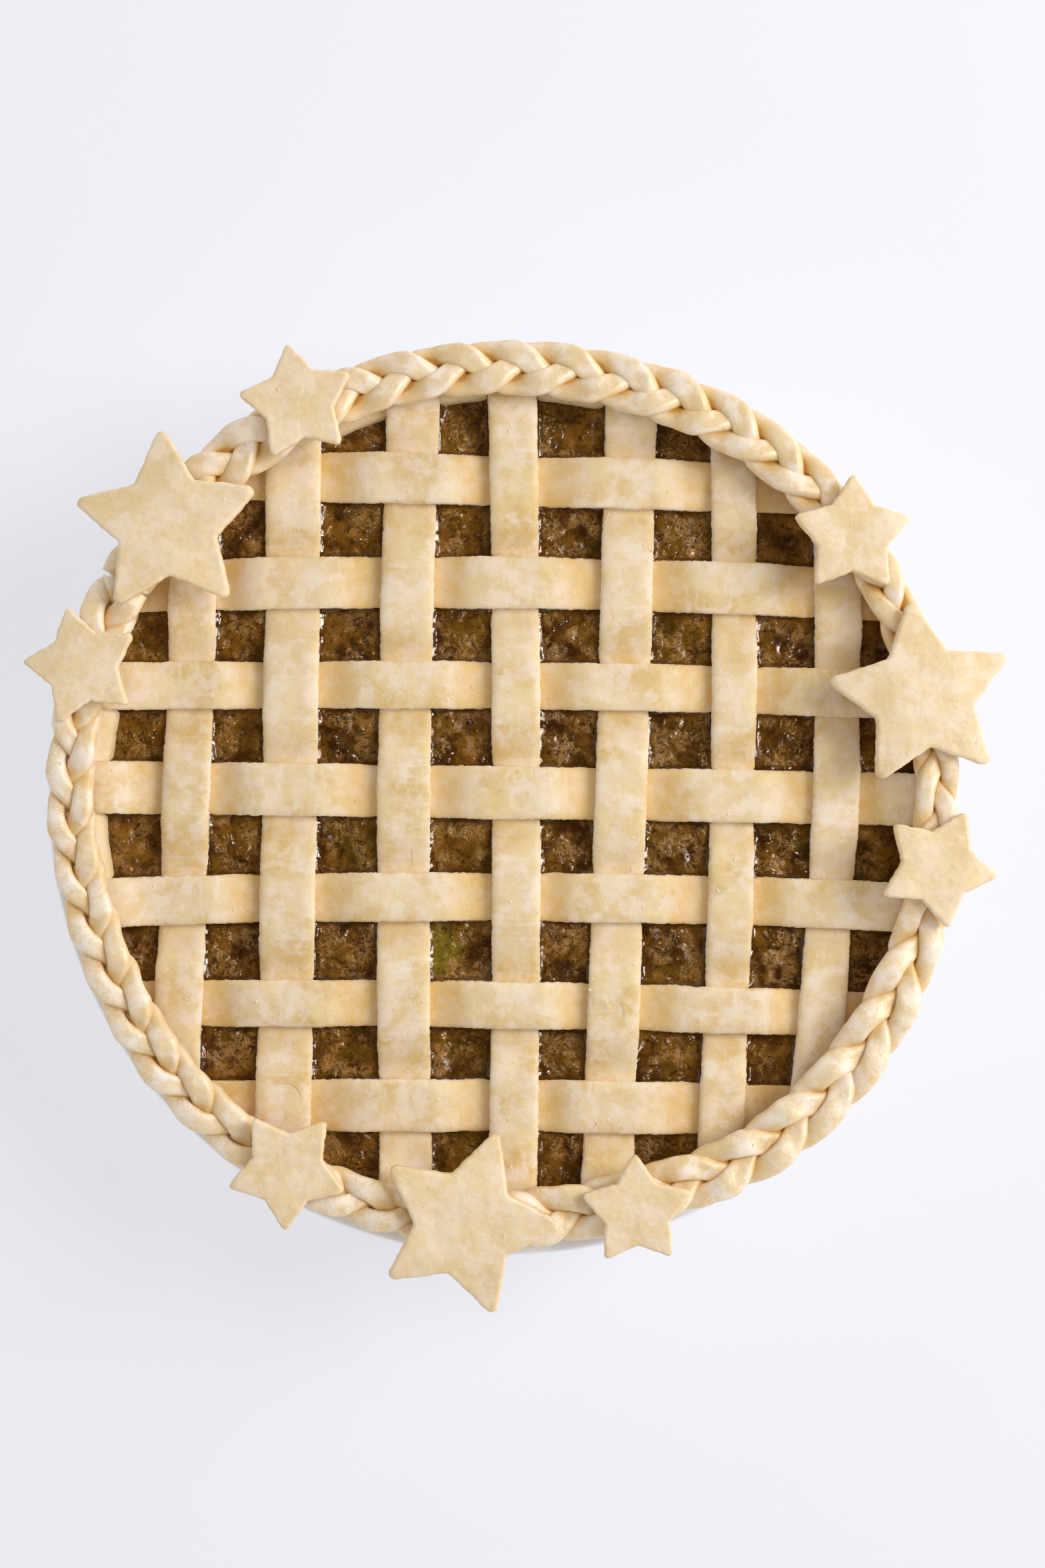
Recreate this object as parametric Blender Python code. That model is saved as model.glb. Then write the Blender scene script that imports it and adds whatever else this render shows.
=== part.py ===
"""Lattice apple pie in its own round dish, ready for the oven.

A Blender 4.5 model in metres, with +Z up. The origin is the middle of the dish's underside.
Lengths in this file are in millimetres, and new_object turns them into metres.
Round the rim, angles are in degrees clockwise from +Y, seen from above, like hours on a clock.
"""

import math

import bmesh
import bpy
import numpy as np

MM = 0.001
GAP = 0.3  # between pieces that touch

# Dish
DISH_RADIUS = 129.5
DISH_HEIGHT = 42.0
FOOT_RADIUS = 99.0
FLOOR_THICKNESS = 5.2
WELL_RADIUS = 97.0  # inside, at its floor
MOUTH_RADIUS = 123.0  # inside, at its rim
TURNED_STEPS = 48

# Pastry case: it lines the dish, folds over its rim, and carries a ledge above the filling
CASE_THICKNESS = 3.5
CASE_RADIUS = 127.6
CASE_TOP = 45.3
CASE_MOUTH = 116.2
LEDGE_TOP = 36.2
LEDGE_INNER = 107.5
LEDGE_DROP = 2.0

# Filling
FILLING_TOP = 35.2
FILLING_LUMP = 0.8
FILLING_RINGS = (0.2, 0.4, 0.6, 0.8, 0.92)
FILLING_STEPS = 40

# Lattice: seven strips each way, in a plain weave
STRIP_THICKNESS = 3.2
LATTICE_LEVEL = 39.9  # half-way up the weave
WEAVE_RISE = (STRIP_THICKNESS + GAP) / 2
LATTICE_RADIUS = 114.5  # the strips' ends lie on this circle, under the braid
TUCKED_LEVEL = 43.7  # where the long strips' ends climb to
CROSSING_MARGIN = 0.8  # flat stretch beyond the strip that is crossed
CROSSING_REACH = 110.0  # strips that would meet further out don't cross
STRIP_SPAN = 90.0  # the centre lines below are given at -span, 0 and +span

# Each strip: its centre line at -span, in the middle and at +span, then its width.
LONG_STRIPS = (
    (-93.6, -90.2, -87.4, 13.2),
    (-63.1, -61.3, -60.2, 15.4),
    (-28.9, -29.2, -27.2, 14.8),
    (1.6, 2.3, 1.6, 13.6),
    (28.5, 31.6, 34.1, 14.5),
    (59.8, 63.0, 63.2, 12.5),
    (84.8, 91.9, 91.4, 12.9),
)
CROSS_STRIPS = (
    (90.1, 88.3, 85.7, 14.1),
    (58.9, 59.7, 56.9, 14.5),
    (30.9, 30.9, 28.9, 13.3),
    (2.1, 0.9, -0.6, 14.8),
    (-29.2, -28.4, -30.3, 13.6),
    (-58.2, -58.7, -61.1, 13.0),
    (-87.2, -86.9, -88.9, 14.6),
)

# Braid: three plaits of three strands each. A strand swings across the rim and rises and dips
# twice in each swing. Its section is wide where it crosses the middle and tall at the edges, and
# it leans like a shingle where it dives under the next strand.
BRAID_RADIUS = 118.7
BRAID_HALF_HEIGHT = 4.35
BRAID_LEVEL = CASE_TOP + GAP + BRAID_HALF_HEIGHT
SWING = 5.25
SWING_BOW = 0.36
LIFT = 2.55
STRAND_HALF_WIDTH = 3.3
WIDTH_SWELL = 0.5
STRAND_HALF_HEIGHT = 1.48
HEIGHT_SWELL = 0.55
STRAND_ROLL = 0.28
STRAND_LEAN = 0.47
STRAND_SIDES = 6
SECTION_PHASE = 40.0  # degrees of swing between two sections
STRANDS = 3
SEAM = 0.4  # degrees left between two plaits
# How far the hand-laid braid strays from its circle: (angle, distance)
BRAID_STRAYS = (
    (0, -1.4),
    (35, 0.5),
    (62, -1.8),
    (107, -0.5),
    (125, 1.7),
    (150, 0.0),
    (185, -1.8),
    (217, 0.2),
    (262, 1.4),
    (295, 1.7),
    (345, -0.3),
)
# Each plait: where it starts and ends, the angle between two leaves, an angle at which a leaf
# of the outer row ends, and 1 where its leaves point clockwise or -1 where they point back.
PLAITS = {
    "top": (299.0 - 360.0, 78.0, 7.4, 4.0, 1),
    "right": (78.0, 184.5, 8.2, 122.0, -1),
    "left": (184.5, 299.0, 6.95, 241.5, -1),
}

# Stars cut from rolled pastry, laid on the braid
STAR_THICKNESS = 3.5
STAR_DROOP = 0.17  # fall for each millimetre that a point reaches past the braid
STAR_REST = 9.0  # half the width of braid that a star lies flat on
TIP_ROUNDING = 0.16
SMALL_NOTCH = 0.60  # notch radius as a share of the tip radius
LARGE_NOTCH = 0.52
LARGE_STAR = 20.0
# Each star: x and y of its middle, its tip radius, and the direction of one tip from +X.
STARS = (
    (-57.2, 108.9, 15.5, 101.5),
    (-94.0, 75.3, 26.5, 94.4),
    (-117.6, 35.3, 15.9, 103.5),
    (-60.4, -104.0, 16.5, 124.0),
    (-11.2, -118.1, 26.3, 71.0),
    (36.6, -114.1, 15.6, 92.0),
    (118.9, -19.1, 16.0, 135.0),
    (115.4, 27.2, 25.6, 98.0),
    (95.5, 72.3, 16.2, 89.6),
)


def clear_scene():
    for old in list(bpy.data.objects):
        bpy.data.objects.remove(old)


def new_material(name, color, roughness, subsurface=0.0):
    material = bpy.data.materials.new(name)
    material.use_nodes = True
    shader = material.node_tree.nodes["Principled BSDF"]
    shader.inputs["Base Color"].default_value = (*color, 1.0)
    shader.inputs["Roughness"].default_value = roughness
    shader.inputs["Metallic"].default_value = 0.0
    shader.inputs["Subsurface Weight"].default_value = subsurface
    material.diffuse_color = (*color, 1.0)
    return material


def new_object(name, shape, material, sharp_angle=35.0):
    """Turns a bmesh in millimetres into a named object in metres, smooth apart from its sharp edges."""
    bmesh.ops.recalc_face_normals(shape, faces=shape.faces)
    bmesh.ops.scale(shape, vec=(MM, MM, MM), verts=shape.verts)
    mesh = bpy.data.meshes.new(name)
    shape.to_mesh(mesh)
    shape.free()
    mesh.materials.append(material)
    mesh.shade_smooth()
    mesh.set_sharp_from_angle(angle=math.radians(sharp_angle))
    made = bpy.data.objects.new(name, mesh)
    bpy.context.scene.collection.objects.link(made)
    return made


def turned(name, profile, material, steps=TURNED_STEPS):
    """A solid of revolution: profile is (radius, height) pairs from the axis out and back to it."""
    shape = bmesh.new()
    corners = [shape.verts.new((radius, 0.0, height)) for radius, height in profile]
    edges = [shape.edges.new(pair) for pair in zip(corners, corners[1:])]
    bmesh.ops.spin(
        shape,
        geom=corners + edges,
        cent=(0.0, 0.0, 0.0),
        axis=(0.0, 0.0, 1.0),
        angle=math.tau,
        steps=steps,
    )
    bmesh.ops.remove_doubles(shape, verts=shape.verts, dist=0.001)
    return new_object(name, shape, material)


def lofted(name, rings, material):
    """A closed solid through rings of points, with a flat cap on the first and the last."""
    shape = bmesh.new()
    loops = [[shape.verts.new(point) for point in ring] for ring in rings]
    sides = len(loops[0])
    for near, far in zip(loops, loops[1:]):
        for k in range(sides):
            after = (k + 1) % sides
            shape.faces.new((near[k], near[after], far[after], far[k]))
    shape.faces.new(loops[0])
    shape.faces.new(loops[-1])
    return new_object(name, shape, material)


def ease(share):
    """0 to 1 with a level start and end."""
    return share * share * (3 - 2 * share)


def on_rim(angle, radius, height):
    """The point at a clock angle in degrees, seen from above."""
    turn = math.radians(angle)
    return (radius * math.sin(turn), radius * math.cos(turn), height)


# Dish, case and filling


def well_radius(height):
    """The dish's inner wall at a height."""
    share = (height - FLOOR_THICKNESS) / (DISH_HEIGHT - FLOOR_THICKNESS)
    return WELL_RADIUS + (MOUTH_RADIUS - WELL_RADIUS) * share


def make_dish(glaze):
    rim_depth = 2.6
    lip = 0.8
    profile = (
        (0.0, 0.0),
        (FOOT_RADIUS, 0.0),
        (FOOT_RADIUS + 1.5, 1.2),
        (DISH_RADIUS - 3.2, DISH_HEIGHT - 4.6),
        (DISH_RADIUS, DISH_HEIGHT - rim_depth),
        (DISH_RADIUS, DISH_HEIGHT - lip),
        (DISH_RADIUS - lip, DISH_HEIGHT),
        (MOUTH_RADIUS + lip, DISH_HEIGHT),
        (well_radius(DISH_HEIGHT - lip), DISH_HEIGHT - lip),
        (WELL_RADIUS, FLOOR_THICKNESS),
        (0.0, FLOOR_THICKNESS),
    )
    return turned("dish", profile, glaze)


def make_case(dough):
    side_gap = 1.5 * GAP  # measured level, beside the slanting wall
    floor = FLOOR_THICKNESS + GAP
    brim = DISH_HEIGHT + GAP
    profile = (
        (0.0, floor),
        (WELL_RADIUS - side_gap, floor),
        (well_radius(DISH_HEIGHT - 1.0) - side_gap, DISH_HEIGHT - 1.0),
        (MOUTH_RADIUS + 0.5, brim),
        (CASE_RADIUS - 0.6, brim),
        (CASE_RADIUS, brim + 0.8),
        (CASE_RADIUS - 0.4, CASE_TOP - 0.4),
        (CASE_RADIUS - 1.0, CASE_TOP),
        (CASE_MOUTH, CASE_TOP),
        (CASE_MOUTH - 1.0, LEDGE_TOP),
        (LATTICE_RADIUS - 2.0, LEDGE_TOP),
        (LEDGE_INNER, LEDGE_TOP - LEDGE_DROP),
        (LEDGE_INNER - 0.5, LEDGE_TOP - 6.0),
        (WELL_RADIUS - CASE_THICKNESS, floor + CASE_THICKNESS),
        (0.0, floor + CASE_THICKNESS),
    )
    return turned("pastry_case", profile, dough)


def filling_height(x, y):
    """The lumpy top of the apple pieces."""
    waves = (
        math.sin(0.13 * x + 1.3) * math.cos(0.11 * y - 0.7)
        + math.sin(0.21 * y + 0.4) * math.cos(0.17 * x + 2.1)
    )
    return FILLING_TOP + 0.5 * FILLING_LUMP * waves


def make_filling(apple):
    edge = LEDGE_INNER - 1.5 * GAP
    brim = LEDGE_TOP - LEDGE_DROP - GAP
    base = FLOOR_THICKNESS + GAP + CASE_THICKNESS + GAP
    foot = WELL_RADIUS - CASE_THICKNESS - 0.5
    angles = [360.0 * k / FILLING_STEPS for k in range(FILLING_STEPS)]
    rings = [
        [on_rim(a, foot, base) for a in angles],
        [on_rim(a, edge - 0.5, LEDGE_TOP - 6.0) for a in angles],
        [on_rim(a, edge, brim) for a in angles],
    ]
    for share in reversed(FILLING_RINGS):
        ring = [on_rim(a, share * edge, 0.0) for a in angles]
        rings.append([(x, y, filling_height(x, y)) for x, y, _ in ring])
    return lofted("apple_filling", rings, apple)


# Lattice


def centre_line(strip, along):
    """How far to the side a strip's middle lies, on a parabola through its three given places."""
    start, middle, end, _ = strip
    share = along / STRIP_SPAN
    return (
        0.5 * share * (share - 1) * start
        + (1 - share * share) * middle
        + 0.5 * share * (share + 1) * end
    )


def crossing(long_strip, cross_strip):
    """Where the centre lines of two strips cross."""
    x, y = long_strip[1], cross_strip[1]
    for _ in range(4):
        x = centre_line(long_strip, y)
        y = centre_line(cross_strip, x)
    return x, y


def crossings_of(number, runs_along_y):
    """(place along the strip, the crossed strip's width, 1 over or -1 under), in order."""
    found = []
    others = CROSS_STRIPS if runs_along_y else LONG_STRIPS
    for other_number, other in enumerate(others):
        if runs_along_y:
            x, y = crossing(LONG_STRIPS[number], other)
        else:
            x, y = crossing(other, CROSS_STRIPS[number])
        if math.hypot(x, y) > CROSSING_REACH:
            continue
        long_on_top = (number + other_number) % 2 == 1
        side = 1 if long_on_top == runs_along_y else -1
        found.append((y if runs_along_y else x, other[3], side))
    return sorted(found)


def end_of(strip, sideways, sign):
    """Where an edge of the strip meets the circle that all the ends lie on."""
    along = sign * STRIP_SPAN
    for _ in range(6):
        aside = centre_line(strip, along) + sideways
        along = sign * math.sqrt(LATTICE_RADIUS**2 - aside**2)
    return along


def stations_of(strip, crossed):
    """(place along the strip, share of the way to its end, height) for each section, in order.

    The share is 0 between the first and the last crossing, and -1 or 1 at the two ends.
    """
    level_at = {side: LATTICE_LEVEL + side * WEAVE_RISE for side in (-1, 1)}
    stations = []
    for (place, width, side), after in zip(crossed, crossed[1:] + [None]):
        flat = width / 2 + CROSSING_MARGIN
        stations.append((place - flat, 0.0, level_at[side]))
        stations.append((place + flat, 0.0, level_at[side]))
        if after is None:
            break
        ramp_start = place + flat
        ramp_end = after[0] - after[1] / 2 - CROSSING_MARGIN
        for share in (0.3, 0.7):
            rise = (level_at[after[2]] - level_at[side]) * ease(share)
            stations.append((ramp_start + (ramp_end - ramp_start) * share, 0.0, level_at[side] + rise))
    for sign in (-1, 1):
        place, width, side = crossed[0] if sign < 0 else crossed[-1]
        flat_end = place + sign * (width / 2 + CROSSING_MARGIN)
        room = abs(end_of(strip, 0.0, sign)) - abs(flat_end)
        if room < CASE_MOUTH - LEDGE_INNER:
            stations = [s for s in stations if s[0] * sign < flat_end * sign - 0.01]
            stations.append((flat_end - sign * width / 2, sign, level_at[side]))
            continue
        for share in (0.35, 0.7, 1.0):
            rise = (TUCKED_LEVEL - level_at[side]) * ease(share)
            stations.append((flat_end, sign * share, level_at[side] + rise))
    return sorted(stations, key=lambda s: (s[1], s[0]))


def strip_section(strip, station, runs_along_y):
    """The four corners of a strip's section."""
    place, share, level = station
    corners = []
    half = strip[3] / 2
    low, high = level - STRIP_THICKNESS / 2, level + STRIP_THICKNESS / 2
    for sideways, height in ((-half, low), (half, low), (half, high), (-half, high)):
        along = place
        if share:
            along += (end_of(strip, sideways, math.copysign(1, share)) - place) * abs(share)
        aside = centre_line(strip, along) + sideways
        corners.append((aside, along, height) if runs_along_y else (along, aside, height))
    return corners


def make_lattice(dough):
    for family, strips, runs_along_y in (
        ("lattice_long", LONG_STRIPS, True),
        ("lattice_cross", CROSS_STRIPS, False),
    ):
        for number, strip in enumerate(strips):
            stations = stations_of(strip, crossings_of(number, runs_along_y))
            rings = [strip_section(strip, station, runs_along_y) for station in stations]
            lofted(f"{family}_{number + 1}", rings, dough)


# Braid


def braid_radius(angle):
    places, strays = zip(*BRAID_STRAYS)
    return BRAID_RADIUS + float(np.interp(angle, places, strays, period=360.0))


def strand_section(angle, phase):
    """One section of a strand, in the upright plane through the pie's axis."""
    swing = math.radians(phase)
    half_width = STRAND_HALF_WIDTH + WIDTH_SWELL * math.cos(2 * swing)
    half_height = STRAND_HALF_HEIGHT - HEIGHT_SWELL * math.cos(2 * swing)
    roll = -STRAND_ROLL * math.cos(swing) - STRAND_LEAN * math.cos(3 * swing)
    radius = braid_radius(angle) + SWING * math.sin(swing) + SWING_BOW * math.sin(3 * swing)
    level = BRAID_LEVEL - LIFT * math.sin(2 * swing)
    points = []
    for k in range(STRAND_SIDES):
        turn = math.tau * k / STRAND_SIDES
        out = half_width * math.cos(turn)
        up = half_height * math.sin(turn)
        points.append(
            on_rim(
                angle,
                radius + out * math.cos(roll) - up * math.sin(roll),
                level + out * math.sin(roll) + up * math.cos(roll),
            )
        )
    return points


def make_braid(dough):
    for place, (start, end, leaf, tip, heading) in PLAITS.items():
        first, last = start + SEAM / 2, end - SEAM / 2
        phase_per_degree = 360.0 / STRANDS / leaf
        sections = round((last - first) * phase_per_degree / SECTION_PHASE)
        angles = [first + (last - first) * k / sections for k in range(sections + 1)]
        for strand in range(STRANDS):
            offset = 180.0 + 360.0 * strand / STRANDS
            rings = [
                strand_section(a, offset + heading * (a - tip) * phase_per_degree)
                for a in angles
            ]
            lofted(f"braid_{place}_{strand + 1}", rings, dough)


# Stars


def star_outline(tip_radius, first_tip):
    """Points round a star with rounded tips, about its own middle."""
    notch_share = LARGE_NOTCH if tip_radius > LARGE_STAR else SMALL_NOTCH
    points = []
    for k in range(5):
        tip_turn = math.radians(first_tip + 72 * k)
        tip = np.array([math.cos(tip_turn), math.sin(tip_turn)])
        sharp_tip = tip * tip_radius * 1.05
        for side in (-1, 1):
            notch_turn = tip_turn + side * math.radians(36)
            notch = notch_share * tip_radius * np.array([math.cos(notch_turn), math.sin(notch_turn)])
            shoulder = sharp_tip + (notch - sharp_tip) * TIP_ROUNDING
            points.append(tuple(shoulder))
            if side < 0:
                points.append(tuple(tip * tip_radius))
            else:
                points.append(tuple(notch))
    return points


def star_level(x, y):
    """A star's underside: flat on the braid, and drooping past it on both sides."""
    lying = BRAID_LEVEL + BRAID_HALF_HEIGHT + GAP
    reach = abs(math.hypot(x, y) - BRAID_RADIUS) - STAR_REST
    return lying - STAR_DROOP * max(0.0, reach)


def make_star(name, star, dough):
    middle_x, middle_y, tip_radius, first_tip = star
    outline = star_outline(tip_radius, first_tip)
    shape = bmesh.new()
    layers = []
    for thickness in (0.0, STAR_THICKNESS):
        loops = []
        for share in (0.5, 1.0):
            loop = []
            for px, py in outline:
                x, y = middle_x + share * px, middle_y + share * py
                loop.append(shape.verts.new((x, y, star_level(x, y) + thickness)))
            loops.append(loop)
        layers.append(loops)
    count = len(outline)
    for inner, outer in layers:
        shape.faces.new(inner)
        for k in range(count):
            after = (k + 1) % count
            shape.faces.new((inner[k], inner[after], outer[after], outer[k]))
    lower, upper = layers[0][1], layers[1][1]
    for k in range(count):
        after = (k + 1) % count
        shape.faces.new((lower[k], lower[after], upper[after], upper[k]))
    return new_object(name, shape, dough)


def make_stars(dough):
    for number, star in enumerate(STARS):
        make_star(f"star_{number + 1}", star, dough)


def main():
    clear_scene()
    glaze = new_material("white_glaze", (0.86, 0.86, 0.85), 0.12)
    case_dough = new_material("case_dough", (0.74, 0.55, 0.31), 0.55, 0.1)
    strip_dough = new_material("strip_dough", (0.80, 0.62, 0.38), 0.5, 0.1)
    braid_dough = new_material("braid_dough", (0.80, 0.61, 0.37), 0.5, 0.1)
    star_dough = new_material("star_dough", (0.80, 0.64, 0.43), 0.5, 0.1)
    apple = new_material("spiced_apple", (0.12, 0.05, 0.012), 0.2)
    make_dish(glaze)
    make_case(case_dough)
    make_filling(apple)
    make_lattice(strip_dough)
    make_braid(braid_dough)
    make_stars(star_dough)


main()
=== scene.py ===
"""Looks of the lattice apple pie: rolled, woven and plaited dough, apple in syrup, and a glazed dish.

Lengths are in metres. MM turns millimetres into metres. Round the rim, angles are in degrees
clockwise from +Y, seen from above.
"""

import math

import bmesh
import bpy
import mathutils
import numpy as np
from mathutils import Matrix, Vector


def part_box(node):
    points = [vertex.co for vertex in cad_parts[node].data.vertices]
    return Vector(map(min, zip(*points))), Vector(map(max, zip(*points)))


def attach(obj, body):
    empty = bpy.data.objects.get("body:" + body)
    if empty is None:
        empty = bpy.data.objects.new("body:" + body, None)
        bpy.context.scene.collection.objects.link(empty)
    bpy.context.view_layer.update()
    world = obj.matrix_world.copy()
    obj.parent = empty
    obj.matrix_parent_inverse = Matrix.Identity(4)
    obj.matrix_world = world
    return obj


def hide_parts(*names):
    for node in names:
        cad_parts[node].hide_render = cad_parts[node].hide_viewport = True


MM = 0.001
HALF = (0.5, 0.5, 0.5)  # what a colored noise varies around
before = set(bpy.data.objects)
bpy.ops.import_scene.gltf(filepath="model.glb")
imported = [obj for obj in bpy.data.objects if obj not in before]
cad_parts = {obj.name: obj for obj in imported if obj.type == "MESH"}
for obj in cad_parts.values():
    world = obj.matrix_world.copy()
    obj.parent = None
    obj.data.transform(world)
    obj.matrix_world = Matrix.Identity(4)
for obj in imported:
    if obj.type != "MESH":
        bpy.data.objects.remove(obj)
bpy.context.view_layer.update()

# Dish and case
DISH_RIM_WIDTH = 6.5 * MM
DISH_EASE = 1.8 * MM  # how much smaller than its solid the dish is shown
DISH_SHIFT = (-1.2 * MM, -1.2 * MM, 0.0)  # the braid doesn't lie quite in the middle of it
DISH_WALL_SHARE = 0.765  # foot radius as a share of the rim radius
TURNED_STEPS = 288
BEND_STEPS = 5
CASE_WALL = 11.2 * MM  # from the outer edge of the case's solid to its inner wall
CASE_TUCK = 3.2 * MM  # how far in its rim is pressed, so that only the braid is seen
# Where the case stands further in: clockwise degrees, and share of the widest ledge
LEDGES = (
    (0, 0.85),
    (12, 0.85),
    (18, 0.0),
    (251, 0.0),
    (257, 0.55),
    (269, 0.6),
    (274, 0.8),
    (283, 0.8),
    (288, 0.0),
    (328, 0.0),
    (336, 0.9),
    (360, 0.85),
)

# Filling
SYRUP_LEVEL = 38.2 * MM
FILLING_CELL = 0.69 * MM
FILLING_FLOOR_SHARE = 0.86  # radius of its floor as a share of its top's
PEEL_PLACE = (-20.6 * MM, -43.4 * MM, SYRUP_LEVEL)

# Colors of dough and apple
BUTTER = (0.79, 0.605, 0.36)
TAN = (0.67, 0.44, 0.145)
CREAM = (0.875, 0.76, 0.65)
STRAW = (0.80, 0.635, 0.32)
# Soak and shade tan: syrup soaked into low dough, and painted shade on strips diving under others and in
# the braid's creases
SOAK_AND_SHADE_TAN = (0.68, 0.40, 0.10)
# Painted shade for the deepest creases of the braid
DEEP_CREASE_SHADE = (0.46, 0.21, 0.035)
SPECK = (0.36, 0.22, 0.10)
FLOUR = (0.90, 0.85, 0.77)
UMBER = (0.040, 0.012, 0.0008)
CINNAMON = (0.20, 0.084, 0.007)
OLIVE = (0.135, 0.075, 0.003)
PEEL = (0.20, 0.155, 0.008)
APPLE_FLESH = (0.50, 0.26, 0.075)

# Shallow cuts and folds in the strips: middle x and y, radius (mm), heading, half sweep (degrees)
DOUGH_MARKS = (
    (-62.3, -84.8, 4.2, 50, 75),
    (-39.3, -17.3, 12.0, 0, 15),
    (-58.0, 12.5, 5.5, 250, 28),
    (29.0, -60.5, 3.0, 20, 60),
    (33.5, -55.0, 6.0, 205, 30),
    (-33.5, 32.0, 3.4, 290, 35),
)

# Lattice
STRIP_ROW = 0.6 * MM
STRIP_TUCK = 4.5 * MM
STRIP_THICKNESS = 3.2 * MM
STRIP_ROUNDING = 0.5 * MM
EASED_ROWS = 13
STRIP_SECTION_POINTS = 72
STRIPS_EACH_WAY = 7
SOAK_AND_SHADE_BELOW = 39.2 * MM  # where a strip lies lower, the syrup has soaked it, and it is painted darker as shade where it dives under another strip
DRY_AND_LIT_ABOVE = 41.3 * MM

# Braid
BRAID_RADIUS = 118.7 * MM
STRAY_RANGE = 8.0  # mm, from the most inwards to the most outwards that a curve can say
# How far the braid's middle strays outwards, in mm, round the rim
BRAID_STRAYS = (
    (0, -0.5),
    (20, -0.1),
    (38, 0.9),
    (62, 0.3),
    (90, -0.2),
    (107, 1.1),
    (117, 1.5),
    (132, 1.8),
    (150, 0.2),
    (170, -2.4),
    (198, -0.3),
    (230, 1.4),
    (250, 0.8),
    (268, 1.8),
    (295, 2.1),
    (345, 0.3),
    (360, -0.5),
)
# Each plait: start, end, degrees for a leaf, angle of one outer leaf, heading, skew, flour
PLAITS = {
    "top": (299.0 - 360.0, 78.0, 7.4, 4.0, 1, 0.0, 0.1),
    "right": (78.0, 184.5, 8.2, 122.0, -1, 0.0, 0.45),
    "left": (184.5, 299.0, 6.95, 241.5, -1, -0.10, 0.55),
}
# How wide the braid is round the rim, as a share of its full width
BRAID_WIDTHS = (
    (0, 0.95),
    (40, 0.93),
    (58, 0.81),
    (92, 0.78),
    (107, 0.88),
    (120, 1.0),
    (150, 1.02),
    (186, 0.96),
    (200, 0.87),
    (246, 0.89),
    (264, 0.84),
    (282, 0.85),
    (300, 0.98),
    (322, 1.0),
    (338, 0.94),
    (360, 0.95),
)
STRANDS = 3

# Stars
STARS = 9
STAR_POINTS_AROUND = 300
STAR_RINGS = 22
STAR_LEVEL = 54.1 * MM  # of its underside, where it rests on the braid
STAR_THICKNESS = 3.5 * MM
LARGE_STAR = 20.0 * MM  # a star whose tips reach further than this has deeper notches
STAR_PULL = 0.9925  # how far in from its solid a star lies, as a share of the radius
# How far each star lies along +X and +Y from there, in mm, and how much it is spread
STAR_FITS = (
    (-0.5, -0.8, 1.06),
    (0.1, -0.9, 1.02),
    (0.6, 0.3, 1.03),
    (0.0, 1.3, 1.02),
    (0.7, 0.1, 1.01),
    (-0.9, 0.2, 1.0),
    (0.0, -0.5, 1.06),
    (-1.0, 1.3, 1.03),
    (-0.8, -0.8, 1.03),
)

# Studio
CAMERA_AIM = (4.05 * MM, 3.3 * MM)
CAMERA_HEIGHT = 0.70
RIM_LEVEL = 50.0 * MM
SEEN_LENGTH = 0.433  # long side of the view at the rim's level
SENSOR = 36.0
WHITE_LIGHT = (1.0, 1.0, 1.0)
WARM_LIGHT = (1.0, 0.90, 0.78)


# Node trees


def operator(operation, swapped=False):
    """A method that adds a Math node for one of Python's operators."""

    def apply(self, other):
        pair = (other, self) if swapped else (self, other)
        return self.tree.math(operation, *pair)

    return apply


class Value:
    """What one socket gives. Arithmetic on it adds Math nodes to its tree."""

    def __init__(self, tree, socket):
        self.tree = tree
        self.socket = socket

    __add__ = operator("ADD")
    __radd__ = operator("ADD", swapped=True)
    __sub__ = operator("SUBTRACT")
    __rsub__ = operator("SUBTRACT", swapped=True)
    __mul__ = operator("MULTIPLY")
    __rmul__ = operator("MULTIPLY", swapped=True)
    __truediv__ = operator("DIVIDE")
    __rtruediv__ = operator("DIVIDE", swapped=True)
    __pow__ = operator("POWER")


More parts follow.
